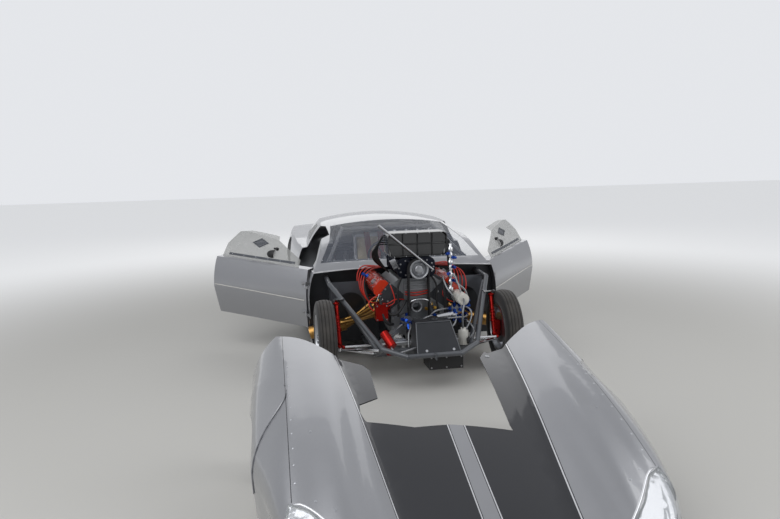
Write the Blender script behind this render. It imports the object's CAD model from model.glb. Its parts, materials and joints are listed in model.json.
import json
import math

import bmesh
import bpy
from mathutils import Matrix, Vector
from mathutils.bvhtree import BVHTree

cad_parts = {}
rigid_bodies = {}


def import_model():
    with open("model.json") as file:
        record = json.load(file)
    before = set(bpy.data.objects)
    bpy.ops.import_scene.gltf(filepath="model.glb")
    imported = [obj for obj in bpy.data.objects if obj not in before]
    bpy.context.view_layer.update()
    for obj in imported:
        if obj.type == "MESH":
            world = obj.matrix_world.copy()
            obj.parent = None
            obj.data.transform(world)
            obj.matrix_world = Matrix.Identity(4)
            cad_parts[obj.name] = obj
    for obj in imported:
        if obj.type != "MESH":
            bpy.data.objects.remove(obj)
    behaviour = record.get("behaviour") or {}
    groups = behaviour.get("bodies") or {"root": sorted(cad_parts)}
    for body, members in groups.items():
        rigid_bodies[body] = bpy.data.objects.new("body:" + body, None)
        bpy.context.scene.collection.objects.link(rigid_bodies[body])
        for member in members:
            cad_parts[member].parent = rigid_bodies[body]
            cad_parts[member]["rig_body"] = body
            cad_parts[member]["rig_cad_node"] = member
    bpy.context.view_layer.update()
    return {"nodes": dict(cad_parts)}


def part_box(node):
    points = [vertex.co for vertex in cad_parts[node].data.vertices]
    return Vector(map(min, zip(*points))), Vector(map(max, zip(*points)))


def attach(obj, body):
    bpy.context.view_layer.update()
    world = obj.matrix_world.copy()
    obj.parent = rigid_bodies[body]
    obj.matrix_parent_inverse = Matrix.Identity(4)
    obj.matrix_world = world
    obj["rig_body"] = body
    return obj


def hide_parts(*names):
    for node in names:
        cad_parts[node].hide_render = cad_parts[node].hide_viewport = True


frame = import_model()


# The photograph's view: a camera at standing eye height ahead of the car and to its right.
# Places are given in the car's own frame: X to its left, Y back from the front axle, Z up.
# CAR_SHIFT carries them to the frame that all the pieces share.
CAR_SHIFT = Vector((0.085, -0.440, 0.0))
SENSOR_MM = 36.0
LENS_MM = 32.53
FAR_CLIP = 200.0
CAMERA_PLACE = (-1.27683, -5.78541, 1.83304)
CAMERA_RIGHT = Vector((0.98286256, -0.18287526, -0.02319126))
CAMERA_UP = Vector((0.04887887, 0.13723767, 0.98933143))
CAMERA_AHEAD = Vector((0.17774153, 0.97351038, -0.1438245))


def at(x, y, z):
    """A place in the car's frame, in metres, carried to the shared frame."""
    return Vector((x, y, z)) + CAR_SHIFT


bpy.ops.object.camera_add(location=at(*CAMERA_PLACE))
camera = bpy.context.object
camera.data.sensor_width = SENSOR_MM
camera.data.lens = LENS_MM
camera.data.clip_end = FAR_CLIP
camera.rotation_euler = Matrix((CAMERA_RIGHT, CAMERA_UP, -CAMERA_AHEAD)).transposed().to_euler()
bpy.context.scene.camera = camera
bpy.context.scene.view_settings.view_transform = "Standard"


# Studio: a pale floor that glows softly far out, so that no dark horizon mirrors in the paint,
# a pale backdrop that mostly the camera sees, and three large soft lamps.
FLOOR_SIZE = 60.0
GLOW_START = 3.0
GLOW_FULL = 9.0
GLOW = 0.85
AIR_ALL = 0.38          # the backdrop's strength on everything
AIR_SEEN = 0.55         # added where the camera sees it, also through windows
AIR_MIRRORED = 0.28     # added in reflections
LAMPS = (
    # name, place in the car's frame, width, watts, aimed at
    ("key", (-4.5, -4.5, 6.5), 8.0, 360, (0, 0, 0.4)),
    ("fill", (5.5, -3.0, 4.5), 6.0, 150, (0, 0.5, 0.4)),
    ("back", (1.0, 7.5, 6.0), 9.0, 150, (0, 1.5, 0.5)),
)


def linear(hex_colour):
    """An sRGB hex colour as linear red, green, blue and alpha."""
    parts = [int(hex_colour[i:i + 2], 16) / 255 for i in (0, 2, 4)]
    return tuple(p / 12.92 if p <= 0.04045 else ((p + 0.055) / 1.055) ** 2.4 for p in parts) + (1.0,)


def add(owner, kind, inputs=None, **settings):
    """One shader node with its settings and inputs. A node given as an input links its first output."""
    made = owner.node_tree.nodes.new("ShaderNode" + kind)
    for name, value in settings.items():
        setattr(made, name, value)
    for socket, value in (inputs or {}).items():
        if isinstance(value, bpy.types.Node):
            value = value.outputs[0]
        if isinstance(value, bpy.types.NodeSocket):
            owner.node_tree.links.new(value, made.inputs[socket])
        else:
            made.inputs[socket].default_value = value
    return made


def new_material(name, **values):
    """A material with one shader, whose even values stand on the shader's own sockets."""
    material = bpy.data.materials.new(name)
    material.use_nodes = True
    material.node_tree.nodes.clear()
    shader = add(material, "BsdfPrincipled")
    for socket, value in values.items():
        shader.inputs[socket.replace("_", " ")].default_value = value
    add(material, "OutputMaterial", {"Surface": shader})
    return material, shader


def feed(shader, socket, output):
    """Links a socket, or a node's first output, into the shader."""
    if isinstance(output, bpy.types.Node):
        output = output.outputs[0]
    shader.id_data.links.new(output, shader.inputs[socket])


bpy.ops.mesh.primitive_plane_add(size=FLOOR_SIZE, location=(0, 0, 0))
floor = bpy.context.object
floor.name = "studio_floor"
# A matt pale floor, so that the car's shadows stay soft
floor_material, floor_shader = new_material("pale_studio_floor", Base_Color=linear("c9c8c4"),
                                            Roughness=0.85, Emission_Color=linear("c4c6ca"))
floor_place = add(floor_material, "TexCoord").outputs["Object"]
floor_reach = add(floor_material, "VectorMath", {0: floor_place}, operation="LENGTH").outputs["Value"]
far = {"Value": floor_reach, "From Min": GLOW_START, "From Max": GLOW_FULL, "To Max": GLOW}
glow = add(floor_material, "MapRange", far, interpolation_type="SMOOTHSTEP")
feed(floor_shader, "Emission Strength", glow)
floor.data.materials.append(floor_material)

world = bpy.data.worlds.new("studio_air")
bpy.context.scene.world = world
world.use_nodes = True
world.node_tree.nodes.clear()
path = add(world, "LightPath")
seen = add(world, "Math", {0: path.outputs["Is Camera Ray"], 1: path.outputs["Is Transmission Ray"]},
           operation="MAXIMUM")
mirrored = add(world, "Math", {0: path.outputs["Is Glossy Ray"], 1: AIR_MIRRORED}, operation="MULTIPLY")
lift = add(world, "Math", {0: seen, 1: AIR_SEEN}, operation="MULTIPLY")
lift = add(world, "Math", {0: lift, 1: mirrored}, operation="ADD")
lift = add(world, "Math", {0: lift, 1: AIR_ALL}, operation="ADD", use_clamp=True)
air = add(world, "Background", {"Color": linear("eceef2"), "Strength": lift})
add(world, "OutputWorld", {"Surface": air})

for name, place, width, watts, aim in LAMPS:
    bpy.ops.object.light_add(type="AREA", location=at(*place))
    lamp = bpy.context.object
    lamp.name = name + "_lamp"
    lamp.data.size = width
    lamp.data.energy = watts
    lamp.rotation_euler = (at(*aim) - at(*place)).to_track_quat("-Z", "Y").to_euler()


# Body shell and doors: moulded glass-fibre panels sprayed in a silver metallic base coat under
# clear lacquer. The skin is held to the frame by quarter-turn fasteners.
SILVER = "9b9ca0"
PAINT_ROUGHNESS = 0.34
FLAKE_MM = 1.6          # real flake is far finer; this coarse it still shows from a few metres
MERGE = 0.00002         # corners nearer than this are one
CREASE = 28             # degrees between faces from which an edge stays crisp
SIDES = (1, -1)         # left and right
NAMED_SIDES = (("left", 1), ("right", -1))


def deselect():
    for thing in bpy.context.selected_objects:
        thing.select_set(False)


def only(obj):
    """Makes obj the one selected, active object."""
    deselect()
    obj.select_set(True)
    bpy.context.view_layer.objects.active = obj


def edit(obj):
    """Enters edit mode on obj with all of it selected."""
    only(obj)
    bpy.ops.object.mode_set(mode="EDIT")
    bpy.ops.mesh.select_all(action="SELECT")


def leave():
    bpy.ops.object.mode_set(mode="OBJECT")


def apply(modifier):
    bpy.ops.object.modifier_apply(modifier=modifier.name)


def dress(obj, material):
    """Gives a piece one material."""
    obj.data.materials.clear()
    obj.data.materials.append(material)


def merged_copy(node):
    """A copy of a CAD node's mesh with its doubled corners merged, at the origin."""
    source = frame["nodes"][node]
    copy = source.copy()
    copy.data = source.data.copy()
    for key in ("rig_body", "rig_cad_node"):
        if key in copy:
            del copy[key]
    copy.parent = None
    copy.name = node + "_skin"
    bpy.context.scene.collection.objects.link(copy)
    copy.matrix_world = Matrix.Identity(4)
    copy.hide_viewport = False
    copy.hide_render = False
    copy.hide_set(False)
    edit(copy)
    bpy.ops.mesh.remove_doubles(threshold=MERGE)
    leave()
    return copy


def smooth_copy(node, material, degrees=CREASE):
    """A merged copy of a CAD node's mesh with smooth faces and crisp edges, shown in its place."""
    copy = merged_copy(node)
    bpy.ops.object.shade_smooth_by_angle(angle=math.radians(degrees))
    even = copy.modifiers.new("even_shading", "WEIGHTED_NORMAL")
    even.keep_sharp = True
    even.weight = 100
    apply(even)
    dress(copy, material)
    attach(copy, frame["nodes"][node]["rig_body"])
    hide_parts(node)
    return copy


def metallic_paint(name, hex_colour):
    """Metallic base coat whose flakes tilt at random, under a clear coat with slight orange peel."""
    material, shader = new_material(name, Base_Color=linear(hex_colour), Metallic=0.82,
                                    Roughness=PAINT_ROUGHNESS, Coat_Weight=1.0, Coat_Roughness=0.04)
    place = add(material, "TexCoord").outputs["Object"]
    flakes = add(material, "TexVoronoi", {"Vector": place, "Scale": 1000.0 / FLAKE_MM})
    tilt = {"Height": flakes, "Strength": 0.10, "Distance": 0.0006}
    feed(shader, "Normal", add(material, "Bump", tilt))
    peel = add(material, "TexNoise", {"Vector": place, "Scale": 160.0, "Detail": 2.0})
    wave = {"Height": peel, "Strength": 0.05, "Distance": 0.001}
    feed(shader, "Coat Normal", add(material, "Bump", wave))
    dust = add(material, "TexNoise", {"Vector": place, "Scale": 3.5, "Detail": 6.0})
    haze = {"Value": dust, "To Min": PAINT_ROUGHNESS - 0.05, "To Max": PAINT_ROUGHNESS + 0.09}
    feed(shader, "Roughness", add(material, "MapRange", haze))
    return material


silver_paint = metallic_paint("silver_metallic_lacquer", SILVER)
for node in ("rear_body", "greenhouse", "cowl_and_rockers", "door_left", "door_right"):
    smooth_copy(node, silver_paint)


# Windows: thin clear polycarbonate sheet, hazed by fine scratches. Each sheet lies over its
# opening and is held round its edge by small screws.
POLYCARBONATE_IOR = 1.585


def sheet_window(name, hex_colour, haze, alpha):
    """Polycarbonate seen as a thin tinted sheet that lets most of the view through."""
    material, shader = new_material(name, Base_Color=linear(hex_colour), Roughness=0.12,
                                    IOR=POLYCARBONATE_IOR, Alpha=alpha)
    place = add(material, "TexCoord").outputs["Object"]
    fine = {"Vector": place, "Scale": 18.0, "Detail": 8.0, "Roughness": 0.7}
    cloud = {"Value": add(material, "TexNoise", fine), "To Min": alpha - haze, "To Max": alpha + haze}
    feed(shader, "Alpha", add(material, "MapRange", cloud))
    return material


clear_sheet = sheet_window("hazed_polycarbonate", "a9aaa8", 0.12, 0.52)
smooth_copy("windshield", sheet_window("windscreen_polycarbonate", "8f95a3", 0.07, 0.17))
for node in ("rear_windows", "door_window_left", "door_window_right"):
    smooth_copy(node, clear_sheet)


# Chassis frame, roll cage, axle and wheelie bars: welded chrome-moly tube in grey powder coat.
# The finishes of the bought and machined pieces are made by the same function.
def coat_finish(name, hex_colour, metallic, roughness, grain_mm, bump, spread=0.06, coat=0.0):
    """An even finish with a fine grain and slow changes of gloss and shade over it."""
    material, shader = new_material(name, Metallic=metallic, Coat_Weight=coat, Coat_Roughness=0.08)
    place = add(material, "TexCoord").outputs["Object"]
    cloud = add(material, "TexNoise", {"Vector": place, "Scale": 9.0, "Detail": 5.0})
    dull = {"Value": cloud, "To Min": roughness - spread, "To Max": roughness + spread}
    feed(shader, "Roughness", add(material, "MapRange", dull))
    base = linear(hex_colour)
    low = tuple(c * 0.82 for c in base[:3]) + (1.0,)
    high = tuple(min(c * 1.14, 1.0) for c in base[:3]) + (1.0,)
    shade = add(material, "Mix", {0: cloud, 6: low, 7: high}, data_type="RGBA")
    feed(shader, "Base Color", shade.outputs[2])
    grain = add(material, "TexNoise", {"Vector": place, "Scale": 1000.0 / grain_mm, "Detail": 3.0})
    feed(shader, "Normal", add(material, "Bump", {"Height": grain, "Strength": bump, "Distance": 0.001}))
    return material


# Painted and coated: even colour with a faint texture, glossier where it is sprayed thick
grey_coat = coat_finish("grey_powder_coat", "54575c", 0.25, 0.38, 4, 0.10, coat=0.3)
orange_red = coat_finish("orange_red_enamel", "c8320f", 0.0, 0.25, 5, 0.06, coat=0.8)
hat_gloss = coat_finish("black_gel_coat", "101113", 0.0, 0.22, 6, 0.04, coat=0.7)
# Sheet: dark, with a broad satin shine
satin_black = coat_finish("satin_black_sheet", "303236", 0.45, 0.38, 3, 0.08)
carbon_grey = coat_finish("grey_carbon_sheet", "5f6268", 0.65, 0.34, 3, 0.08)
# Aluminium: brushed to a satin shine, or dull and pitted as it left the mould
bare_alloy = coat_finish("satin_aluminium", "b4b6ba", 1.0, 0.34, 2, 0.12)
cast_alloy = coat_finish("cast_aluminium", "8b8d90", 0.9, 0.48, 3, 0.35)
block_alloy = coat_finish("oiled_cast_block", "46484c", 0.75, 0.50, 3, 0.40)
# Anodised: metal that shines through a deep dye
blue_black = coat_finish("blue_black_anodised", "171b28", 0.7, 0.30, 2, 0.10)
red_anodised = coat_finish("red_anodised", "a5160f", 0.75, 0.28, 3, 0.06)
blue_anodised = coat_finish("blue_anodised", "1b459c", 0.85, 0.26, 3, 0.06)
# Plated and bare metal: grey zinc, mirror chrome, straw-coloured hot steel, yellow brass, wire braid
plain_steel = coat_finish("zinc_plated_steel", "a9aaad", 1.0, 0.36, 2, 0.10)
bright_chrome = coat_finish("bright_chrome", "dcdde0", 1.0, 0.10, 8, 0.02, spread=0.03)
golden_steel = coat_finish("heat_tinted_steel", "b48a4e", 1.0, 0.32, 4, 0.10)
brass = coat_finish("turned_brass", "b08a3c", 1.0, 0.28, 3, 0.06)
braided = coat_finish("braided_steel_hose", "8e9093", 0.9, 0.45, 1.2, 0.6)
# Rubber, plastic and cloth: matt, with a moulded or woven grain
belt_rubber = coat_finish("belt_rubber", "18181a", 0.0, 0.7, 2, 0.2)
black_plastic = coat_finish("black_moulded_plastic", "1b1b1d", 0.0, 0.5, 2, 0.15)
white_plastic = coat_finish("white_moulded_plastic", "d2d1cb", 0.0, 0.35, 6, 0.05)
red_wire = coat_finish("red_silicone_lead", "c22a1a", 0.0, 0.45, 3, 0.10)
pack_cloth = coat_finish("black_nylon", "1a1a1c", 0.0, 0.8, 2, 0.3)
red_web = coat_finish("red_webbing", "7c1212", 0.0, 0.8, 1.5, 0.5)

FINISHES = (
    # slot in the record, finish, nodes
    ("frame_paint", grey_coat, "front_frame chassis_frame roll_cage rear_axle wheelie_bars"),
    ("sheet", satin_black, "floor_and_firewall dash_panel fuel_tank"),
    ("sheet", carbon_grey, "inner_panels"),
    ("bare_alloy", cast_alloy, "front_plates"),
    ("bare_alloy", bare_alloy, "wheel_tubs blower_pulleys wheel_front_left wheel_front_right wheels_rear"),
    ("bare_alloy", bare_alloy, "rack_housing seat"),
    ("engine_alloy", block_alloy, "engine_block"),
    ("engine_alloy", cast_alloy, "intake_manifold driveline"),
    ("cover_paint", orange_red, "valve_covers"),
    ("blower_finish", blue_black, "blower_case"),
    ("hat_finish", hat_gloss, "injector_hat"),
    ("belt_rubber", belt_rubber, "blower_belt"),
    ("steel", plain_steel, "rear_suspension belt_bar steering_column parachute_mount door_hinges"),
    ("chrome", bright_chrome, "front_arms rack_bar fuel_stack"),
    ("red_anodised", red_anodised, "knuckle_left knuckle_right accessory_boxes"),
    ("exhaust_steel", golden_steel, "exhausts"),
    ("black_plastic", black_plastic, "battery_box steering_wheel wheelie_wheel_left wheelie_wheel_right"),
    ("white_plastic", white_plastic, "small_tanks"),
)
for slot, finish, nodes in FINISHES:
    for node in nodes.split():
        smooth_copy(node, finish)


# Fasteners: zinc-plated cap screws and hexagon bolts, dome-headed rivets and quarter-turn studs.
# Each kind is modelled once and copied to where it sits, at right angles to the surface.
FACES = {
    "top": lambda f: f.normal.z > 0.9,
    "foot": lambda f: f.normal.z < -0.9,
    "ends": lambda f: abs(f.normal.z) > 0.9,
    "grip": lambda f: abs(f.normal.z) < 0.2 and f.index % 2 == 0,
    "teeth": lambda f: abs(f.normal.z) < 0.2 and f.index % 4 < 2,
}
SINK = 0.0006           # how deep a screw's foot stands in the surface
DOWN = (0, 0, -1)
BACK = (0, 1, 0)
AHEAD = (0, -1, 0)


def start(kind, name, **sizes):
    """A mesh primitive to work from, as the one selected object."""
    deselect()
    getattr(bpy.ops.mesh, "primitive_" + kind + "_add")(**sizes)
    obj = bpy.context.object
    obj.name = name
    bpy.ops.object.transform_apply(location=True, rotation=True, scale=True)
    return obj


def pick(test):
    """Selects the faces that pass the test, in edit mode."""
    bpy.ops.mesh.select_mode(type="FACE")
    bpy.ops.mesh.select_all(action="DESELECT")
    data = bpy.context.edit_object.data
    mesh = bmesh.from_edit_mesh(data)
    for face in mesh.faces:
        face.select_set(bool(test(face)))
    bmesh.update_edit_mesh(data)


def push(x, y, z):
    """Extrudes the selected faces and moves them."""
    bpy.ops.mesh.extrude_region_move(TRANSFORM_OT_translate={"value": (x, y, z)})


def swell(depth):
    """Extrudes the selected faces outwards along their own normals, or inwards."""
    bpy.ops.mesh.extrude_region_move()
    bpy.ops.transform.shrink_fatten(value=depth)


def turned(name, sides, radius, depth, *steps, middle=0.0):
    """A turned piece along Z: a cylinder worked by steps of (faces, inset, height).

    A step that names no faces goes on with those that the step before left selected.
    """
    obj = start("cylinder", name, vertices=sides, radius=radius, depth=depth, location=(0, 0, middle))
    edit(obj)
    for faces, inset, height in steps:
        if faces:
            pick(FACES[faces])
        if inset:
            bpy.ops.mesh.inset(thickness=inset)
        if faces in ("grip", "teeth"):
            swell(height)
        else:
            push(0, 0, height)
    leave()
    return obj


def complete(obj, material, body="body", degrees=35):
    """A finished piece: placed for good, dressed, and riding on its body."""
    only(obj)
    bpy.ops.object.transform_apply(location=True, rotation=True, scale=True)
    if obj.type == "MESH":
        bpy.ops.object.shade_smooth_by_angle(angle=math.radians(degrees))
    dress(obj, material)
    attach(obj, body)
    return obj


def screw(name, sides, radius, height, socket, depth):
    """A screw head standing on the origin with a rolled rim and a sunk drive."""
    rim = ("top", radius * 0.10, height * 0.14)
    drive = (None, radius * (0.9 - socket), -depth)
    return turned(name, sides, radius, height, rim, drive, middle=height / 2)


cap_screw = screw("cap_screw_pattern", 12, 0.0065, 0.006, 0.45, 0.004)
hex_bolt = screw("hex_bolt_pattern", 6, 0.0095, 0.008, 0.30, 0.001)
quarter_turn = screw("quarter_turn_pattern", 16, 0.013, 0.003, 0.35, 0.0015)
lug_nut = screw("lug_nut_pattern", 6, 0.0125, 0.022, 0.42, 0.012)
rivet = start("uv_sphere", "rivet_pattern", segments=10, ring_count=6, radius=0.006)
edit(rivet)
bpy.ops.mesh.bisect(plane_co=(0, 0, 0), plane_no=(0, 0, 1), clear_inner=True, use_fill=True)
bpy.ops.mesh.select_all(action="SELECT")
bpy.ops.transform.resize(value=(1, 1, 0.5), center_override=(0, 0, 0))
leave()


def set_out(pattern, name, spots, material, body="body", scale=1.0):
    """Copies of a pattern at (place, way that it faces), each with its own mesh, joined as one piece."""
    made = []
    for place, way in spots:
        copy = pattern.copy()
        copy.data = pattern.data.copy()
        bpy.context.scene.collection.objects.link(copy)
        stand = Vector(way).to_track_quat("Z", "Y").to_matrix().to_4x4()
        copy.matrix_world = Matrix.Translation(place) @ stand @ Matrix.Scale(scale, 4)
        made.append(copy)
    deselect()
    for copy in made:
        copy.select_set(True)
    bpy.context.view_layer.objects.active = made[0]
    bpy.ops.object.join()
    piece = bpy.context.object
    piece.name = name
    return complete(piece, material, body)


def skin_of(node):
    """A CAD node's surface, for finding places on it."""
    mesh = frame["nodes"][node].data
    return BVHTree.FromPolygons([v.co for v in mesh.vertices], [tuple(p.vertices) for p in mesh.polygons])


def on_skin(skin, place, way):
    """Where a line from a place first meets a surface, and the way that the surface faces there."""
    way = Vector(way).normalized()
    spot, normal = skin.ray_cast(place, way)[:2]
    if spot is None:
        return None
    return spot, (-normal if normal.dot(way) > 0 else normal)


def spots_on(skin, places, way):
    """The spots of several places on a surface, sunk a little into it."""
    found = [on_skin(skin, place, way) for place in places]
    return [(spot[0] - spot[1] * SINK, spot[1]) for spot in found if spot]


def fasten(pattern, name, node, places, way, material, body="body", scale=1.0):
    """Steel or alloy fasteners where lines from the places meet a CAD node's surface."""
    set_out(pattern, name, spots_on(skin_of(node), places, way), material, body, scale)


def line(name, runs, radius, material, body="body"):
    """Hard lines or hoses held at both ends, one smooth run through each list of points."""
    data = bpy.data.curves.new(name, "CURVE")
    data.dimensions = "3D"
    data.bevel_depth = radius
    data.bevel_resolution = 1
    data.use_fill_caps = True
    data.resolution_u = 4
    for points in runs:
        spline = data.splines.new("NURBS")
        spline.points.add(len(points) - 1)
        for point, place in zip(spline.points, points):
            point.co = (*at(*place), 1.0)
        spline.order_u = 3
        spline.use_endpoint_u = True
    obj = bpy.data.objects.new(name, data)
    bpy.context.scene.collection.objects.link(obj)
    return complete(obj, material, body)


def mm(*places):
    """A run's places, written in millimetres, in metres."""
    return [tuple(value / 1000 for value in place) for place in places]


# Loose front clip: bonnet, wings and nose in one moulding. Two dark bands run up the bonnet
# either side of a silver stripe, edged by pin stripes, and a seam joins bonnet and wing flank.
CLIP_REAR = at(-0.376, -1.608, 0)       # middle of the clip's rear edge
CLIP_TURN = math.radians(-1.0)
CENTRE_STRIPE = 0.034                   # half width
BAND_EDGE = 0.545                       # half width of the dark bands at the rear, less this per metre
BAND_TAPER = 0.103
PIN_IN = 0.0065
PIN_HALF = 0.0028
SEAM = 0.808
SEAM_HALF = 0.0016
SEAM_FRONT = -1.44                      # the seam ends at the headlamp
FLUTE_WIDTH = 0.21                      # of the soft hollows along each wing's top
FLUTE_DEPTH = 0.006
ARCH_MIDDLE = (-0.600, 0.285)           # of the wheel opening, in the clip's own frame
ARCH_R = 0.391
ARCH_LIP = (0.372, 0.205)               # half length and height of the opening that the lip leaves
ARCH_LAP = 0.004                        # the lip's lap over the opening's edge
ARCH_BULGE = 0.012
ABOVE = 1.2                             # a height above all of the clip


def on_clip(x, y, z):
    """A place in the clip's own frame, which has its origin on the ground under its rear edge."""
    return CLIP_REAR + Matrix.Rotation(CLIP_TURN, 3, "Z") @ Vector((x, y, z))


def striped_paint():
    """The silver paint with the bands, pin stripes and seam, and soft hollows along the wings."""
    material = metallic_paint("striped_metallic_lacquer", SILVER)
    shader = next(n for n in material.node_tree.nodes if n.type == "BSDF_PRINCIPLED")
    place = add(material, "TexCoord").outputs["Object"]
    stand = {"Vector": place, "Location": CLIP_REAR, "Rotation": (0, 0, CLIP_TURN)}
    own = add(material, "Mapping", stand, vector_type="TEXTURE")
    split = add(material, "SeparateXYZ", {"Vector": own})
    y = split.outputs["Y"]
    across = add(material, "Math", {0: split}, operation="ABSOLUTE")
    edge = add(material, "Math", {0: y, 1: BAND_TAPER, 2: BAND_EDGE}, operation="MULTIPLY_ADD")
    inside = add(material, "Math", {0: across, 1: edge}, operation="LESS_THAN")
    outside = add(material, "Math", {0: across, 1: CENTRE_STRIPE}, operation="GREATER_THAN")
    from_edge = add(material, "Math", {0: edge, 1: across}, operation="SUBTRACT")
    outer_pin = add(material, "Math", {0: from_edge, 1: PIN_IN, 2: PIN_HALF}, operation="COMPARE")
    from_stripe = add(material, "Math", {0: across, 1: CENTRE_STRIPE}, operation="SUBTRACT")
    inner_pin = add(material, "Math", {0: from_stripe, 1: PIN_IN, 2: PIN_HALF}, operation="COMPARE")
    pins = add(material, "Math", {0: outer_pin, 1: inner_pin}, operation="MAXIMUM")
    dark = add(material, "Math", {0: inside, 1: outside}, operation="MULTIPLY")
    dark = add(material, "Math", {0: dark, 1: pins}, operation="SUBTRACT", use_clamp=True)
    seam = add(material, "Math", {0: across, 1: SEAM, 2: SEAM_HALF}, operation="COMPARE")
    behind = add(material, "Math", {0: y, 1: SEAM_FRONT}, operation="GREATER_THAN")
    seam = add(material, "Math", {0: seam, 1: behind}, operation="MULTIPLY")
    colour = linear(SILVER)
    for mask, tint in ((dark, "2a2b30"), (pins, "d8d9dc"), (seam, "17171a")):
        colour = add(material, "Mix", {0: mask, 6: colour, 7: linear(tint)}, data_type="RGBA").outputs[2]
    feed(shader, "Base Color", colour)
    ripple = add(material, "Math", {0: across, 1: 0.60}, operation="SUBTRACT")
    ripple = add(material, "Math", {0: ripple, 1: math.tau / FLUTE_WIDTH}, operation="MULTIPLY")
    ripple = add(material, "Math", {0: ripple}, operation="COSINE")
    for value, low, high in ((y, -0.35, -0.95), (across, 0.42, 0.52)):
        fade = add(material, "MapRange", {"Value": value, "From Min": low, "From Max": high},
                   interpolation_type="SMOOTHSTEP")
        ripple = add(material, "Math", {0: ripple, 1: fade}, operation="MULTIPLY")
    for socket in ("Normal", "Coat Normal"):
        under = shader.inputs[socket].links[0].from_socket
        hollow = {"Height": ripple, "Strength": 1.0, "Distance": FLUTE_DEPTH, "Normal": under}
        feed(shader, socket, add(material, "Bump", hollow))
    return material


def thicken(obj, thickness, offset=0.0):
    """Gives a sheet its thickness, with its faces outwards."""
    only(obj)
    wall = obj.modifiers.new("wall", "SOLIDIFY")
    wall.thickness = thickness
    wall.offset = offset
    apply(wall)
    edit(obj)
    bpy.ops.mesh.normals_make_consistent(inside=False)
    leave()


stripe_paint = striped_paint()
smooth_copy("front_clip", stripe_paint)
clip_skin = skin_of("front_clip")


def arch_lip(name, side):
    """The moulded lip panel that fills the top of a wheel opening down to the arch's real line."""
    steps, rows = 24, 5
    obj = start("grid", name, x_subdivisions=steps, y_subdivisions=rows, size=1)
    ordered = sorted(obj.data.vertices, key=lambda v: (round(v.co.y, 4), v.co.x))
    for index, vertex in enumerate(ordered):
        row, step = divmod(index, steps + 1)
        a = math.pi * step / steps
        inner = 1.0 / math.hypot(math.cos(a) / ARCH_LIP[0], math.sin(a) / ARCH_LIP[1])
        reach = (ARCH_R + ARCH_LAP) + (inner - ARCH_R - ARCH_LAP) * row / rows
        y = ARCH_MIDDLE[0] + reach * math.cos(a)
        z = ARCH_MIDDLE[1] + reach * math.sin(a)
        half = math.sqrt(max(ARCH_R ** 2 - (z - ARCH_MIDDLE[1]) ** 2, 0.0)) + 0.014
        ends = [on_skin(clip_skin, on_clip(side * 1.5, ARCH_MIDDLE[0] + half * way, z), (-side, 0, 0))[0]
                for way in (-1, 1)]
        share = (y - ARCH_MIDDLE[0] + half) / (2 * half)
        across = ends[0].x + (ends[1].x - ends[0].x) * share
        bulge = ARCH_BULGE * 4 * max(share * (1 - share), 0.0) * (half / ARCH_R) ** 2
        vertex.co = (across + side * (bulge + SINK), on_clip(0, y, 0).y, z)
    thicken(obj, 0.005)
    complete(obj, stripe_paint, "clip")


for side_name, side in NAMED_SIDES:
    arch_lip("arch_lip_" + side_name, side)
for pattern, name, material, scale, places in (
    (rivet, "clip_rivets", bare_alloy, 1.0, [(SEAM - 0.018, y / 100) for y in range(-45, -145, -10)]),
    (quarter_turn, "clip_flap_studs", plain_steel, 1.0, [(0.355, -0.382)]),
    (quarter_turn, "clip_wing_studs", bare_alloy, 0.5,
     [(0.705, -1.066), (0.711, -1.472), (0.636, -1.530)]),
):
    over = [on_clip(side * x, y, ABOVE) for side in SIDES for x, y in places]
    fasten(pattern, name, "front_clip", over, DOWN, material, "clip", scale)


# Headlamps: a clear moulded cover over a bright reflector tray, held in a thin silver bezel that
# follows the opening in the clip.
LAMP_TOP_EDGE = ((0.822, -1.437), (0.740, -1.500), (0.640, -1.640), (0.480, -1.800), (0.470, -1.905))
LAMP_LOW_EDGE = (-1.88, -1.80, -1.70, -1.58, -1.46)
TRAY_DEPTH = 0.012
ACRYLIC_IOR = 1.49


def lamp_bezel(side):
    """The bezel's line: along the opening's upper edge, then back along its lower edge."""
    found = [on_skin(clip_skin, on_clip(side * (x - 0.008), y + 0.006, ABOVE), DOWN)
             for x, y in LAMP_TOP_EDGE]
    for y in LAMP_LOW_EDGE:
        height = 0.330 + (y + 1.400) * 0.2232 - 0.008
        found.append(on_skin(clip_skin, on_clip(side * 1.4, y, height), (-side, 0, 0)))
    return [tuple(spot[0] - CAR_SHIFT) for spot in found if spot]


# Clear acrylic with a polished gloss, over a mirror coating pressed in fine optics
lamp_cover, _ = new_material("clear_lamp_cover", Base_Color=linear("e6ebee"), Roughness=0.05,
                             IOR=ACRYLIC_IOR, Alpha=0.30)
reflector = coat_finish("vapour_coated_reflector", "d5d6da", 1.0, 0.16, 30, 0.9, spread=0.05)
smooth_copy("headlamps", lamp_cover)
tray = merged_copy("headlamps")
tray.name = "headlamp_trays"
edit(tray)
bpy.ops.transform.shrink_fatten(value=-TRAY_DEPTH)
leave()
complete(tray, reflector, "clip")


def loop_line(name, runs, radius, material, body="body"):
    """Closed trim lines: as line() makes, with each run joined to its own start."""
    for spline in line(name, runs, radius, material, body).data.splines:
        spline.use_endpoint_u = False
        spline.use_cyclic_u = True


bezels = [lamp_bezel(side) for side in SIDES]
loop_line("headlamp_bezels", bezels, 0.006, bright_chrome, "clip")


# Tyres: front runners with ribbed treads and rear slicks with smooth scrubbed treads, dusty on
# the tread and darker on the wall.
FRONT_TYRE_R = 0.330
REAR_TYRE_R = 0.438
WHEELBASE = 2.820
FRONT_TYRE_X = 0.790
TYRE_CREASE = 40                             # degrees
TREAD_BAND = 0.02                            # depth below the tyre's crown that counts as tread
GROOVES = (-0.042, -0.015, 0.015, 0.042)     # of the front tread, from its middle
GROOVE_HALF = 0.0035
GROOVE_DEPTH = 0.006


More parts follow.
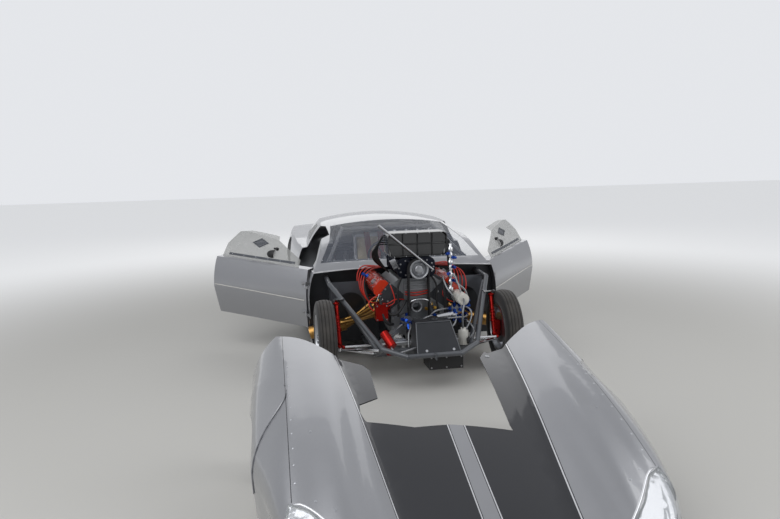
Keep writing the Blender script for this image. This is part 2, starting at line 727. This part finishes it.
def tyre_rubber(name, radius, axle_y):
    """Rubber that is dusty and scrubbed grey on the tread, and black with a low sheen on the walls."""
    material, shader = new_material(name, Roughness=0.78, Sheen_Weight=0.15)
    place = add(material, "TexCoord").outputs["Object"]
    middle = Vector((0, axle_y + CAR_SHIFT.y, radius))
    offset = add(material, "VectorMath", {0: place, 1: middle}, operation="SUBTRACT")
    flat = add(material, "VectorMath", {0: offset, 1: (0, 1, 1)}, operation="MULTIPLY")
    reach = add(material, "VectorMath", {0: flat}, operation="LENGTH").outputs["Value"]
    band = {"Value": reach, "From Min": radius - TREAD_BAND, "From Max": radius - 0.006}
    tread = add(material, "MapRange", band)
    dust = add(material, "TexNoise", {"Vector": place, "Scale": 14.0, "Detail": 8.0})
    worn = add(material, "Math", {0: tread, 1: dust}, operation="MULTIPLY")
    shade = add(material, "Mix", {0: worn, 6: linear("19191a"), 7: linear("4c4844")}, data_type="RGBA")
    feed(shader, "Base Color", shade.outputs[2])
    grain = add(material, "TexNoise", {"Vector": place, "Scale": 260.0, "Detail": 4.0})
    rings = add(material, "Math", {0: reach, 1: 700.0}, operation="MULTIPLY")
    rings = add(material, "Math", {0: rings}, operation="SINE")
    wall = add(material, "Math", {0: rings, 1: 0.3, 2: grain}, operation="MULTIPLY_ADD")
    feed(shader, "Normal", add(material, "Bump", {"Height": wall, "Strength": 0.35, "Distance": 0.001}))
    return material


front_rubber = tyre_rubber("front_tyre_rubber", FRONT_TYRE_R, 0.0)
rear_rubber = tyre_rubber("rear_slick_rubber", REAR_TYRE_R, WHEELBASE)
for side_name, side in NAMED_SIDES:
    tyre = smooth_copy("tyre_front_" + side_name, front_rubber, TYRE_CREASE)
    middle = at(side * FRONT_TYRE_X, 0, FRONT_TYRE_R)
    edit(tyre)
    for groove in GROOVES:
        for edge in (-GROOVE_HALF, GROOVE_HALF):
            bpy.ops.mesh.select_all(action="SELECT")
            bpy.ops.mesh.bisect(plane_co=middle + Vector((groove + edge, 0, 0)), plane_no=(1, 0, 0))

    def in_groove(face):
        place = face.calc_center_median() - middle
        on_tread = math.hypot(place.y, place.z) > FRONT_TYRE_R - TREAD_BAND
        return on_tread and any(abs(place.x - groove) < GROOVE_HALF for groove in GROOVES)

    pick(in_groove)
    swell(-GROOVE_DEPTH)
    leave()
smooth_copy("tyres_rear", rear_rubber, TYRE_CREASE)


# Wheels: machined aluminium, five lug nuts a wheel, and a bolted beadlock ring on each rear rim
# that keeps the slick from turning on it.
FRONT_NUT_R = 0.034
REAR_NUT_R = 0.046
BEADLOCK_R = 0.2135
BESIDE = 1.3                    # a distance from the middle that is outside all the wheels


def angles(count, first=0.0):
    """Angles evenly round a circle."""
    return [first + i * math.tau / count for i in range(count)]


def ring_of(side, y, z, radius, count, first=0.0):
    """Places beside the car, evenly round a circle that faces along X."""
    return [at(side * BESIDE, y + radius * math.cos(a), z + radius * math.sin(a))
            for a in angles(count, first)]


for side_name, side, body in (("left", 1, "wheel_fl"), ("right", -1, "wheel_fr")):
    nuts = ring_of(side, 0, FRONT_TYRE_R, FRONT_NUT_R, 5, 0.3)
    fasten(lug_nut, "front_nuts_" + side_name, "wheel_front_" + side_name, nuts, (-side, 0, 0),
           bright_chrome, body, 0.8)
rear_face = skin_of("wheels_rear")
nuts = []
ring_screws = []
for side in SIDES:
    inner = ring_of(side, WHEELBASE, REAR_TYRE_R, REAR_NUT_R, 5, 0.3)
    outer = ring_of(side, WHEELBASE, REAR_TYRE_R, BEADLOCK_R, 24)
    nuts += spots_on(rear_face, inner, (-side, 0, 0))
    ring_screws += spots_on(rear_face, outer, (-side, 0, 0))
set_out(lug_nut, "rear_nuts", nuts, bright_chrome, "rear_wheels")
set_out(cap_screw, "beadlock_screws", ring_screws, plain_steel, "rear_wheels", 0.8)


# Engine top: enamelled covers held by cap screws, a ribbed belt-driven blower, and an injector
# hat whose fuel lines loop down to the ports. Red leads in silicone sleeve run to the plugs.
COVER_OUT = Vector((0.751, 0, 0.661))       # the way the left cover faces
COVER_SLOPE = Vector((-0.661, 0, 0.751))
COVER_MIDDLE = Vector((0.345, 0, 0.776))    # of its top face, across
PLUG_YS = (0.03, 0.15, 0.27, 0.39)
CRANK_Z = 0.370
BLOWER_Z = 0.902
COG_PITCH = 0.0155
cover_skin = skin_of("valve_covers")


def cover_spots(ys, offsets):
    """Spots on both valve covers' top faces, at distances across them from their middle."""
    found = []
    for side in SIDES:
        way = Vector((-COVER_OUT.x * side, 0, -COVER_OUT.z))
        for offset in offsets:
            place = COVER_MIDDLE + COVER_SLOPE * offset + COVER_OUT * 0.1
            found += spots_on(cover_skin, [at(place.x * side, y, place.z) for y in ys], way)
    return found


def put(piece, place, material, degrees=90, axis="X"):
    """Stands a finished piece in the car. Turned as given, its Z faces forward."""
    piece.matrix_world = Matrix.Translation(at(*place)) @ Matrix.Rotation(math.radians(degrees), 4, axis)
    complete(piece, material)


cover_screws = cover_spots((0.02, 0.13, 0.24, 0.35, 0.46), (-0.036, 0.040))
set_out(cap_screw, "cover_screws", cover_screws, plain_steel)
filler = turned("cover_filler_pattern", 20, 0.024, 0.020, ("top", 0.003, 0.006), ("grip", 0.001, 0.002),
                middle=0.010)
set_out(filler, "cover_fillers", cover_spots((0.075, 0.405), (0.0,)), bare_alloy)

leads = []
for side in SIDES:
    for i, y in enumerate(PLUG_YS):
        leads.append([(side * 0.330, y, 0.610), (side * 0.400, y - 0.01, 0.600),
                      (side * 0.452, y - 0.02, 0.690), (side * 0.452, y + 0.03, 0.810),
                      (side * 0.395, y + 0.07, 0.872),
                      (side * 0.300, 0.30 + 0.04 * i, 0.868), (side * 0.215, 0.42 + 0.02 * i, 0.850)])
leads += [mm((-300, -35, 700), (-410, -50, 660), (-430, -70, 600), (-380, -80, 560)),
          mm((-110, -60, 705), (-50, -75, 695), (30, -75, 700), (100, -60, 712)),
          mm((-110, -60, 683), (-50, -75, 672), (30, -75, 677), (100, -60, 690))]
line("plug_leads", leads, 0.0055, red_wire)
boot = turned("plug_boot_pattern", 10, 0.010, 0.050, ("top", 0.003, 0.012), middle=0.025)
boots = [(at(side * 0.312, y, 0.600), (side, 0, 0.12)) for side in SIDES for y in PLUG_YS]
set_out(boot, "plug_boots", boots, black_plastic)

rim = [at(0.150 * math.cos(a), -0.3, BLOWER_Z + 0.078 * math.sin(a)) for a in angles(14)]
fasten(hex_bolt, "blower_front_bolts", "blower_case", rim, BACK, plain_steel, scale=0.8)
hat_top = [at(x, y, 1.6) for y in (0.14, 0.24) for x in (-0.15, -0.05, 0.05, 0.15)]
fasten(cap_screw, "injector_nozzles", "injector_hat", hat_top, DOWN, bare_alloy, scale=1.6)
lip = [at(x, -0.4, z) for z in (1.0115, 1.2045) for x in (-0.2, -0.1, 0.0, 0.1, 0.2)]
fasten(cap_screw, "hat_lip_screws", "injector_hat", lip, BACK, bare_alloy, scale=0.6)

fuel_lines = []
for i in range(5):
    x = -0.262 - 0.011 * i
    fuel_lines.append([(-0.235, 0.10 + 0.03 * i, 1.170 - 0.022 * i), (x, 0.06, 1.185 - 0.02 * i),
                       (x - 0.045, 0.05, 1.12 - 0.015 * i), (x - 0.060, 0.07, 1.02),
                       (x - 0.02, 0.10 + 0.02 * i, 0.93), (-0.212, 0.12 + 0.06 * i, 0.850)])
for i in range(3):
    x = 0.262 + 0.012 * i
    fuel_lines.append([(0.235, 0.12 + 0.04 * i, 1.160 - 0.03 * i), (x + 0.02, 0.08, 1.150),
                       (x + 0.035, 0.04, 1.05), (x + 0.02, 0.02, 0.94), (0.286, -0.050, 0.86 - 0.06 * i)])
line("injector_hoses", fuel_lines, 0.0058, belt_rubber)

yoke = start("cube", "throttle_yoke", size=1, scale=(0.050, 0.008, 0.085))
edit(yoke)
pick(lambda f: f.normal.y < -0.9)
bpy.ops.mesh.inset(thickness=0.012)
push(0, 0.006, 0)
leave()
put(yoke, (-0.196, -0.052, 0.945), bright_chrome, -24, "Y")

pulley_spots = [(at(0.046 * math.cos(a), -0.1105, z + 0.046 * math.sin(a)), AHEAD)
                for z in (BLOWER_Z, CRANK_Z) for a in angles(6)]
set_out(hex_bolt, "pulley_bolts", pulley_spots, plain_steel, scale=0.8)

cog = start("cube", "belt_cog_pattern", size=1, scale=(0.070, 0.006, 0.004))
edit(cog)
pick(FACES["top"])
bpy.ops.mesh.inset(thickness=0.001)
push(0, 0, 0.0012)
leave()
cogs = []
for side in SIDES:
    for i in range(34):
        rise = 0.006 + i * COG_PITCH
        cogs.append((at(side * (0.0945 - 0.0113 * rise), -0.098, CRANK_Z + rise), (side, 0, 0)))
set_out(cog, "belt_ribs", cogs, belt_rubber)


# Fuel and oil plumbing at the engine's front: braided hoses between blue anodised fittings, the
# injection pump, a filter and a block that shares fuel out to the lines.
fitting = turned("hose_fitting_pattern", 6, 0.015, 0.016, ("top", 0.003, 0.020), ("foot", 0.004, -0.010))
FITTINGS = (
    # name, finish, ((place in millimetres), (way that it faces))
    ("hose_fittings", blue_anodised, (
        ((-124, -172, 484), (-0.3, -0.8, 0.3)), ((-95, -190, 470), AHEAD),
        ((-150, -160, 455), (-1, -0.2, 0)), ((-112, -190, 440), (0, -0.5, -0.8)),
        ((-120, -150, 515), (0, -0.2, 1)), ((-150, -180, 495), (-0.8, -0.5, 0.4)),
        ((348, -120, 440), AHEAD), ((310, -120, 452), (-1, -0.3, 0)), ((385, -130, 455), (1, -0.3, 0)),
        ((345, -150, 480), (0, -0.4, 1)), ((420, -100, 560), (1, 0, 0.2)), ((432, -120, 530), (0.5, -1, 0)),
        ((425, -110, 590), (0.4, -0.3, 1)), ((302, -105, 985), (0.5, -0.5, 0)),
        ((258, -105, 1020), (-0.7, -0.5, 0)), ((300, -110, 905), (0.4, -1, 0)),
        ((262, -108, 850), (-0.6, -0.8, 0)), ((302, -106, 790), (0.5, -1, 0)),
        ((-440, 100, 850), (0, -1, 0.3)), ((-420, 60, 840), (0.3, -1, 0.3)))),
    ("fuel_fittings", blue_anodised, (
        ((120, -150, 510), (-1, 0, 0.1)), ((310, -150, 490), (1, 0, -0.1)),
        ((290, -160, 590), (0, -0.3, 1)),
        ((335, -160, 590), (0, -0.3, 1)), ((365, -135, 565), (1, 0, 0)), ((290, -160, 545), AHEAD),
        ((338, -160, 548), AHEAD), ((260, -135, 555), (-1, 0, 0)), ((305, -150, 520), (0, -0.3, -1)),
        ((95, -110, 455), (0.2, -1, 0)), ((60, -105, 430), AHEAD), ((400, -130, 500), (0.2, -1, 0)),
        ((395, -140, 620), (0, -1, 0.2)))),
    ("brass_fittings", brass, (
        ((60, -100, 560), AHEAD), ((100, -85, 600), (0.3, -1, 0)), ((140, -80, 560), (0, -1, 0.2)))),
)
for name, finish, spots in FITTINGS:
    set_out(fitting, name, [(at(*mm(place)[0]), way) for place, way in spots], finish)

pump = turned("injection_pump", 24, 0.040, 0.100, ("ends", 0.004, 0.0), ("top", 0.010, 0.008))
put(pump, (-0.118, -0.115, 0.478), bare_alloy)
filter_can = turned("fuel_filter", 28, 0.030, 0.150, ("top", 0.006, 0.010), (None, 0.010, 0.016),
                    ("foot", 0.006, 0.010), (None, 0.010, 0.016))
put(filter_can, (0.215, -0.150, 0.500), bright_chrome, 84, "Y")
fuel_block = start("cube", "fuel_distribution_block", size=1, scale=(0.090, 0.046, 0.062))
edit(fuel_block)
bpy.ops.mesh.bevel(offset=0.006, segments=2)
pick(lambda f: f.normal.y < -0.9)
bpy.ops.mesh.inset(thickness=0.006)
push(0, 0, -0.004)
leave()
put(fuel_block, (0.315, -0.135, 0.555), cast_alloy, 0)

line("braided_hoses", [
    mm((-104, -215, 462), (-108, -275, 455), (-150, -340, 400), (-150, -372, 310)),
    mm((-60, -180, 455), (20, -235, 470), (180, -240, 500), (345, -175, 485)),
    mm((385, -150, 455), (430, -200, 430), (440, -260, 360), (372, -320, 340)),
    mm((425, -115, 605), (415, -120, 700), (330, -115, 760), (295, -100, 800)),
    mm((-165, -180, 455), (-220, -220, 430), (-265, -330, 420), (-300, -390, 425)),
    mm((-318, -460, 360), (-300, -530, 300), (-210, -545, 330), (-120, -520, 345)),
    mm((345, -255, 655), (330, -330, 640), (300, -360, 540), (312, -345, 435)),
], 0.0085, braided)
line("fuel_pump_hoses", [
    mm((108, -150, 510), (40, -185, 510), (-20, -200, 470), (-95, -200, 470)),
    mm((325, -150, 488), (380, -180, 470), (400, -170, 500)),
    mm((290, -165, 605), (280, -190, 670), (220, -150, 740), (215, -80, 820)),
    mm((335, -165, 605), (345, -200, 680), (330, -160, 760), (302, -110, 850)),
    mm((375, -135, 568), (430, -150, 560), (440, -200, 480), (350, -300, 410)),
    mm((250, -135, 556), (160, -180, 570), (80, -160, 520), (60, -120, 440)),
    mm((305, -155, 510), (300, -210, 440), (200, -240, 400), (95, -130, 440)),
], 0.0080, braided)
line("coolant_hoses", [
    mm((-300, -80, 560), (-240, -160, 520), (-170, -150, 560), (-110, -90, 640)),
    mm((-220, -80, 440), (-280, -160, 440), (-330, -140, 560), (-330, -100, 680)),
    mm((340, -100, 400), (250, -200, 440), (100, -200, 420), (-60, -180, 430)),
], 0.012, belt_rubber)
line("fuel_pipes", [
    mm((-80, -75, 560), (-100, -110, 600), (-60, -130, 650), (60, -130, 650), (110, -110, 600),
       (130, -80, 560)),
    mm((180, -75, 460), (180, -140, 470), (180, -150, 500)),
    mm((250, -75, 460), (250, -140, 470), (250, -150, 500)),
    mm((315, -70, 555), (315, -120, 555)),
], 0.0065, bright_chrome)
line("brace_rods", [
    mm((-330, -62, 560), (-390, -66, 480), (-300, -66, 660)),
    mm((-355, -70, 640), (-330, -66, 700)),
], 0.004, bright_chrome)


# Front tank and boxes: folded and welded sheet with a rolled bead round the tank's face, held by
# quarter-turn studs and screws.
fasten(quarter_turn, "tank_bolts", "fuel_tank", [at(-0.050, -1.0, 0.328), at(0.169, -1.0, 0.328)], BACK,
       bare_alloy, scale=0.8)
TANK_RIM = mm((-126, -592, 306), (223, -592, 306), (174, -455, 526), (-107, -455, 526))
for name, a, b in (("low", 0, 1), ("right", 1, 2), ("top", 2, 3), ("left", 3, 0)):
    middle = tuple(Vector(TANK_RIM[a]).lerp(Vector(TANK_RIM[b]), 0.5))
    line("tank_bead_" + name, [[TANK_RIM[a], middle, TANK_RIM[b]]], 0.0045, grey_coat)
box_places = [at(x, -1.0, z) for x in (-0.010, 0.112, 0.233) for z in (0.182, 0.262)]
fasten(cap_screw, "battery_screws", "battery_box", box_places, BACK, plain_steel)
ignition_places = [at(x, -0.3, z) for x in (-0.365, -0.285) for z in (0.500, 0.615)]
fasten(cap_screw, "ignition_screws", "accessory_boxes", ignition_places, BACK, plain_steel)


# Front of the engine: bolts through the motor plate, the heads and the header flanges, a toothed
# trigger wheel behind the lower pulley, an oil filter, a starter motor and a wiring loom.
PLATE_BOLTS = ((0.360, 0.200), (0.360, 0.245), (0.290, 0.315), (0.215, 0.400), (0.215, 0.480),
               (0.215, 0.545), (0.160, 0.590), (0.100, 0.630))
HEAD_BOLTS = ((0.320, 0.672), (0.275, 0.735), (0.232, 0.775), (0.255, 0.630), (0.180, 0.690))
for name, node, spots in (("motor_plate_bolts", "front_plates", PLATE_BOLTS),
                          ("head_bolts", "engine_block", HEAD_BOLTS)):
    places = [at(side * x, -1.0, z) for side in SIDES for x, z in spots]
    fasten(hex_bolt, name, node, places, BACK, plain_steel)
header_nuts = [(at(side * 0.300, y + way * 0.030, 0.560 - way * 0.020), (side, 0, -0.5))
               for side in SIDES for y in (0.045, 0.170, 0.310, 0.435) for way in (-1, 1)]
set_out(hex_bolt, "header_nuts", header_nuts, golden_steel)

trigger = turned("trigger_wheel", 72, 0.104, 0.006, ("teeth", 0, 0.008), ("top", 0.016, -0.002))
put(trigger, (0, -0.0515, CRANK_Z), plain_steel)
oil_filter = turned("oil_filter", 24, 0.042, 0.110, ("grip", 0.0015, 0.0015), ("top", 0.008, 0.006),
                    (None, 0.016, 0.008))
put(oil_filter, (-0.185, -0.105, 0.330), bright_chrome)
starter = turned("starter_motor", 28, 0.045, 0.150, ("ends", 0.006, 0.0), ("top", 0.012, 0.014))
put(starter, (0.175, -0.128, CRANK_Z), satin_black)

for i, z in enumerate((675, 722, 762)):
    rib = mm((-105, -58, z), (0, -60, z), (92, -58, z))
    line("cover_rib_%d" % i, [rib], 0.005, bare_alloy)
line("wiring_loom", [
    mm((340, 560, 800), (395, 400, 790), (410, 180, 700), (400, -20, 560), (395, -180, 420),
       (330, -420, 325)),
    mm((-340, 560, 800), (-400, 400, 780), (-405, 200, 640), (-380, 0, 560)),
    mm((120, -75, 830), (170, -85, 760), (150, -80, 640), (180, -85, 520), (165, -90, 430)),
    mm((-140, -70, 830), (-190, -75, 740), (-165, -75, 620), (-175, -80, 500)),
    mm((225, -60, 800), (215, -95, 700), (240, -90, 600), (250, -85, 480)),
], 0.010, belt_rubber)
line("sensor_leads", [
    mm((235, -62, 770), (205, -85, 700), (225, -85, 630), (300, -80, 600)),
    mm((-235, -62, 770), (-205, -80, 690), (-200, -80, 600), (-290, -80, 590)),
    mm((-120, -60, 640), (-200, -80, 660), (-260, -80, 610), (-310, -110, 628)),
], 0.0045, red_wire)


# Doors: a bright pinstripe along each skin, and on each polycarbonate window a belt seal, a
# diamond-shaped vent, a hooded scoop and a turn-knob latch.
HINGE = {1: at(0.906, 0.600, 0), -1: at(-0.906, 0.600, 0)}
SWING = {1: math.radians(-40), -1: math.radians(50)}
STRAP_THICK = 0.003
VENT = (1.24, 1.035)            # places on a shut door: back from the front axle, and up
SCOOP = (1.06, 0.940)
LATCH = (1.02, 0.985)
SLAT_PITCH = 0.014
PANE_SCREWS = ((0.80, 0.868), (0.95, 0.880), (1.10, 0.892), (1.25, 0.902), (1.40, 0.912), (1.55, 0.922),
               (1.68, 0.930))
DOOR_LINE_YS = (0.625, 0.85, 1.08, 1.30, 1.50, 1.690)
# Near-white lacquer that catches the light as a thin edge
bright_line = coat_finish("bright_pinstripe_lacquer", "e9e7e0", 0.55, 0.24, 3, 0.04)


def door_way(side, x, y, z):
    """A direction given for a shut door, turned with the door as it stands open."""
    return Matrix.Rotation(SWING[side], 3, "Z") @ Vector((side * x, y, z))


def door_spot(side, skin, y, z):
    """The spot on an open door's surface that is at y and z when the door is shut."""
    pivot = HINGE[side]
    outside = pivot + Matrix.Rotation(SWING[side], 3, "Z") @ (at(side * 1.6, y, z) - pivot)
    return on_skin(skin, outside, door_way(side, -1, 0, 0))


def lay(piece, spot, ahead):
    """Puts a piece on a surface, its Z along the surface's normal and its X ahead."""
    place, normal = spot
    x_axis = (ahead - normal * ahead.dot(normal)).normalized()
    y_axis = normal.cross(x_axis)
    stand = Matrix((x_axis, y_axis, normal)).transposed().to_4x4()
    piece.matrix_world = Matrix.Translation(place) @ stand


def strap(name, points, across, width, material, body="body"):
    """Flat webbing or strip: a grid laid along the points and thickened."""
    obj = start("grid", name, x_subdivisions=1, y_subdivisions=len(points) - 1, size=1)
    rows = sorted(obj.data.vertices, key=lambda v: (v.co.y, v.co.x))
    half = Vector(across).normalized() * width / 2
    for i, place in enumerate(points):
        rows[2 * i].co = Vector(place) - half
        rows[2 * i + 1].co = Vector(place) + half
    thicken(obj, STRAP_THICK)
    complete(obj, material, body)


for side_name, side, body in (("left", 1, "door_l"), ("right", -1, "door_r")):
    door_skin = skin_of("door_" + side_name)
    pane_skin = skin_of("door_window_" + side_name)
    back = door_way(side, 0, 1, 0)
    found = [door_spot(side, door_skin, y, 0.544 + (y - 0.62) * 0.083) for y in DOOR_LINE_YS]
    crease = [tuple(spot[0] + spot[1] * 0.0005 - CAR_SHIFT) for spot in found if spot]
    line("door_body_line_" + side_name, [crease], 0.0042, bright_line, body)

    found = [door_spot(side, pane_skin, y, 0.838 + (y - 0.600) * 0.0667 + 0.022)
             for y in [0.78 + 0.09 * i for i in range(11)]]
    seal = [spot[0] + spot[1] * 0.0020 for spot in found if spot]
    rise = door_way(side, -0.55, 0, 0.83)
    strap("belt_seal_" + side_name, seal, rise, 0.022, carbon_grey, body)

    vent = start("circle", "window_vent_" + side_name, vertices=4, radius=0.100, fill_type="NGON")
    edit(vent)
    bpy.ops.transform.resize(value=(1.0, 0.5, 1.0), center_override=(0, 0, 0))
    push(0, 0, 0.004)
    bpy.ops.mesh.inset(thickness=0.009)
    push(0, 0, -0.003)
    leave()
    place, normal = door_spot(side, pane_skin, *VENT)
    lay(vent, (place, normal), back)
    complete(vent, carbon_grey, body)
    along_pane = (back - normal * back.dot(normal)).normalized()
    slats = []
    for i in (-2, -1, 0, 1, 2):
        reach = along_pane * (0.075 - abs(i) * 0.026)
        middle = place + normal.cross(along_pane) * (i * SLAT_PITCH) + normal * 0.003 - CAR_SHIFT
        slats.append([tuple(middle - reach), tuple(middle), tuple(middle + reach)])
    line("vent_slats_" + side_name, slats, 0.0022, bare_alloy, body)

    scoop = start("uv_sphere", "window_scoop_" + side_name, segments=20, ring_count=12, radius=0.05)
    edit(scoop)
    bpy.ops.transform.resize(value=(1.3, 0.80, 0.75), center_override=(0, 0, 0))
    bpy.ops.mesh.bisect(plane_co=(0, 0, 0), plane_no=(0, 0, 1), clear_inner=True)
    bpy.ops.mesh.select_all(action="SELECT")
    bpy.ops.mesh.bisect(plane_co=(-0.02, 0, 0), plane_no=(1, 0, 0.35), clear_inner=True)
    leave()
    thicken(scoop, 0.003, offset=-1.0)
    lay(scoop, door_spot(side, pane_skin, *SCOOP), back)
    complete(scoop, black_plastic, body)

    knob = turned("window_latch_" + side_name, 16, 0.016, 0.010, ("top", 0.004, 0.010), middle=0.004)
    edit(knob)
    pick(lambda f: f.normal.x > 0.8 and f.calc_center_median().z > 0.009)
    push(0.022, 0, 0)
    leave()
    lay(knob, door_spot(side, pane_skin, *LATCH), back)
    complete(knob, black_plastic, body)

    found = [door_spot(side, pane_skin, y, z + 0.002) for y, z in PANE_SCREWS]
    screws = [(spot[0] + spot[1] * 0.003, spot[1]) for spot in found if spot]
    set_out(rivet, "pane_rivets_" + side_name, screws, bare_alloy, body, 0.8)


# Fixed windows: dome-headed screws at even spacing hold the windscreen and the rear screen round
# their edges.
def along(a, b, count):
    """Evenly spaced places from a to b."""
    return [at(*Vector(a).lerp(Vector(b), i / (count - 1))) for i in range(count)]


screen_edge = along((-0.735, -0.5, 0.905), (0.735, -0.5, 0.905), 15)
for side in (-1, 1):
    screen_edge += along((side * 0.742, -0.5, 0.955), (side * 0.560, -0.5, 1.185), 6)
fasten(rivet, "windscreen_screws", "windshield", screen_edge, BACK, bare_alloy, scale=0.9)
rear_edge = along((-0.520, 5.0, 1.035), (0.520, 5.0, 1.035), 11)
rear_edge += along((-0.450, 5.0, 1.150), (0.450, 5.0, 1.150), 9)
fasten(rivet, "rear_screen_screws", "rear_windows", rear_edge, AHEAD, bare_alloy, scale=0.9)


# Cabin: a padded cloth seat cover over the aluminium shell, a five-point harness, round gauges
# in the dash and a gear lever on the tunnel.
SEAT_MIDDLE = -0.075
BELT_WIDTH = 0.062
QUILT_PITCH_MM = 60
PAD_LOSS = 0.006                # the pad is shrunk by this before it is blown up
CLOTH_CAP = 0.010               # and swells by this at most
SOFT_CREASE = 60                # degrees


def padded_copy(node, name, material, voxel, pressure, frames):
    """A pad blown up as cloth from a shrunken copy of its CAD node, which it stands in for."""
    pad = merged_copy(node)
    pad.name = name
    edit(pad)
    bpy.ops.transform.shrink_fatten(value=-PAD_LOSS)
    leave()
    remesh = pad.modifiers.new("remesh", "REMESH")
    remesh.mode = "VOXEL"
    remesh.voxel_size = voxel
    apply(remesh)
    before = [v.co.copy() for v in pad.data.vertices]
    cloth = pad.modifiers.new("cloth", "CLOTH")
    cloth.settings.use_pressure = True
    cloth.settings.uniform_pressure_force = pressure
    cloth.settings.effector_weights.gravity = 0.0
    cloth.settings.quality = 5
    cloth.point_cache.frame_start = 1
    cloth.point_cache.frame_end = frames
    for step in range(1, frames + 1):
        bpy.context.scene.frame_set(step)
    only(pad)
    apply(cloth)
    bpy.context.scene.frame_set(1)
    for vertex, old in zip(pad.data.vertices, before):
        shift = vertex.co - old
        if shift.length > CLOTH_CAP:
            vertex.co = old + shift.normalized() * CLOTH_CAP
    complete(pad, material, degrees=SOFT_CREASE)
    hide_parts(node)


def quilted(name, hex_colour, worn_colour, pitch_mm):
    """Heavy woven cover with quilting channels across it, worn darker in patches."""
    material, shader = new_material(name, Roughness=0.88, Sheen_Weight=0.25, Sheen_Roughness=0.5)
    place = add(material, "TexCoord").outputs["Object"]
    patch = add(material, "TexNoise", {"Vector": place, "Scale": 12.0, "Detail": 6.0})
    tints = {0: patch, 6: linear(hex_colour), 7: linear(worn_colour)}
    shade = add(material, "Mix", tints, data_type="RGBA")
    feed(shader, "Base Color", shade.outputs[2])
    rows = add(material, "TexWave", {"Vector": place, "Scale": 1000.0 / pitch_mm / 20, "Distortion": 0.3},
               bands_direction="Z")
    weave = add(material, "TexNoise", {"Vector": place, "Scale": 700.0, "Detail": 2.0})
    height = add(material, "Math", {0: rows.outputs["Fac"], 1: 3.0, 2: weave}, operation="MULTIPLY_ADD")
    feed(shader, "Normal", add(material, "Bump", {"Height": height, "Strength": 0.6, "Distance": 0.002}))
    return material


seat_cloth = quilted("beige_quilted_cloth", "efe2c2", "8f7d5e", QUILT_PITCH_MM)
padded_copy("seat_pad", "seat_cover", seat_cloth, 0.008, 4.0, 14)

for i, dx in enumerate((-0.075, 0.075)):
    x = SEAT_MIDDLE + dx
    shoulder = [(x, 1.830, 1.028), (x, 1.775, 1.030), (x, 1.730, 0.975), (x - dx * 0.10, 1.690, 0.850),
                (x - dx * 0.35, 1.630, 0.680), (x - dx * 0.70, 1.580, 0.585),
                (SEAT_MIDDLE + dx * 0.12, 1.545, 0.535)]
    lap = [(SEAT_MIDDLE + dx * 2.68, 1.640, 0.520), (SEAT_MIDDLE + dx * 2.55, 1.590, 0.560),
           (SEAT_MIDDLE + dx * 1.6, 1.548, 0.560), (SEAT_MIDDLE + dx * 0.30, 1.530, 0.530)]
    for name, run, across in (("shoulder", shoulder, (1, 0, 0)), ("lap", lap, (0, -0.5, 0.86))):
        strap("%s_belt_%d" % (name, i), [at(*p) for p in run], across, BELT_WIDTH, red_web)
buckle = turned("harness_buckle", 20, 0.034, 0.014, ("top", 0.006, 0.004), (None, 0.010, -0.003))
lay(buckle, (at(SEAT_MIDDLE, 1.528, 0.536), Vector((0, -0.62, 0.78))), Vector((1, 0, 0)))
complete(buckle, bare_alloy)

gauge = turned("gauge_pattern", 28, 0.034, 0.030, ("top", 0.004, 0.0), (None, 0.001, -0.006),
               middle=0.010)
gauge_places = [at(SEAT_MIDDLE + dx, 1.5, 0.80) for dx in (-0.19, -0.10, 0.10, 0.19)]
gauges = spots_on(skin_of("dash_panel"), gauge_places, AHEAD)
set_out(gauge, "dash_gauges", gauges, black_plastic)
lever = mm((60, 1150, 470), (70, 1180, 560), (85, 1230, 680), (90, 1250, 735))
line("gear_lever", [lever], 0.008, bright_chrome)
grip = mm((50, 1250, 742), (90, 1252, 746), (130, 1250, 742))
line("gear_lever_grip", [grip], 0.013, black_plastic)


# Tail: nylon parachute packs strapped to their mount, and red acrylic lamps in thin chromed
# bezels let into the tail panel.
TAIL_Y = 3774                   # millimetres, as is the lamps' outline
LAMP_OUTLINE = ((450, 720), (620, 720), (790, 720), (790, 760), (790, 800), (620, 800), (450, 800),
                (450, 760))
PACK_R = 0.106
PACK_Z = 0.520
# Deep red acrylic under a hard, wet-looking gloss
lamp_red, _ = new_material("red_lamp_lens", Base_Color=linear("8e0d0d"), Roughness=0.12,
                           IOR=ACRYLIC_IOR, Coat_Weight=1.0, Coat_Roughness=0.03)
smooth_copy("tail_lamps", lamp_red)
bezels = []
for side in SIDES:
    bezels.append(mm(*[(side * x, TAIL_Y, z) for x, z in LAMP_OUTLINE]))
loop_line("tail_lamp_bezels", bezels, 0.004, bright_chrome)
padded_copy("parachutes", "parachute_packs", pack_cloth, 0.012, 3.0, 12)
low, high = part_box("parachutes")
for i, x in enumerate((-0.150, 0.150)):
    for j, y in enumerate((low[1] + 0.05, high[1] - 0.05)):
        ring = [at(x, 0, PACK_Z) + Vector((PACK_R * math.cos(a), 0, PACK_R * math.sin(a)))
                for a in angles(16) + [0.0]]
        for place in ring:
            place.y = y
        strap("pack_strap_%d_%d" % (i, j), ring, (0, 1, 0), 0.030, red_web)


# The patterns have been copied to their places and are taken out, and the sizes are noted
for obj in list(bpy.data.objects):
    if obj.name.endswith("_pattern"):
        bpy.data.objects.remove(obj)
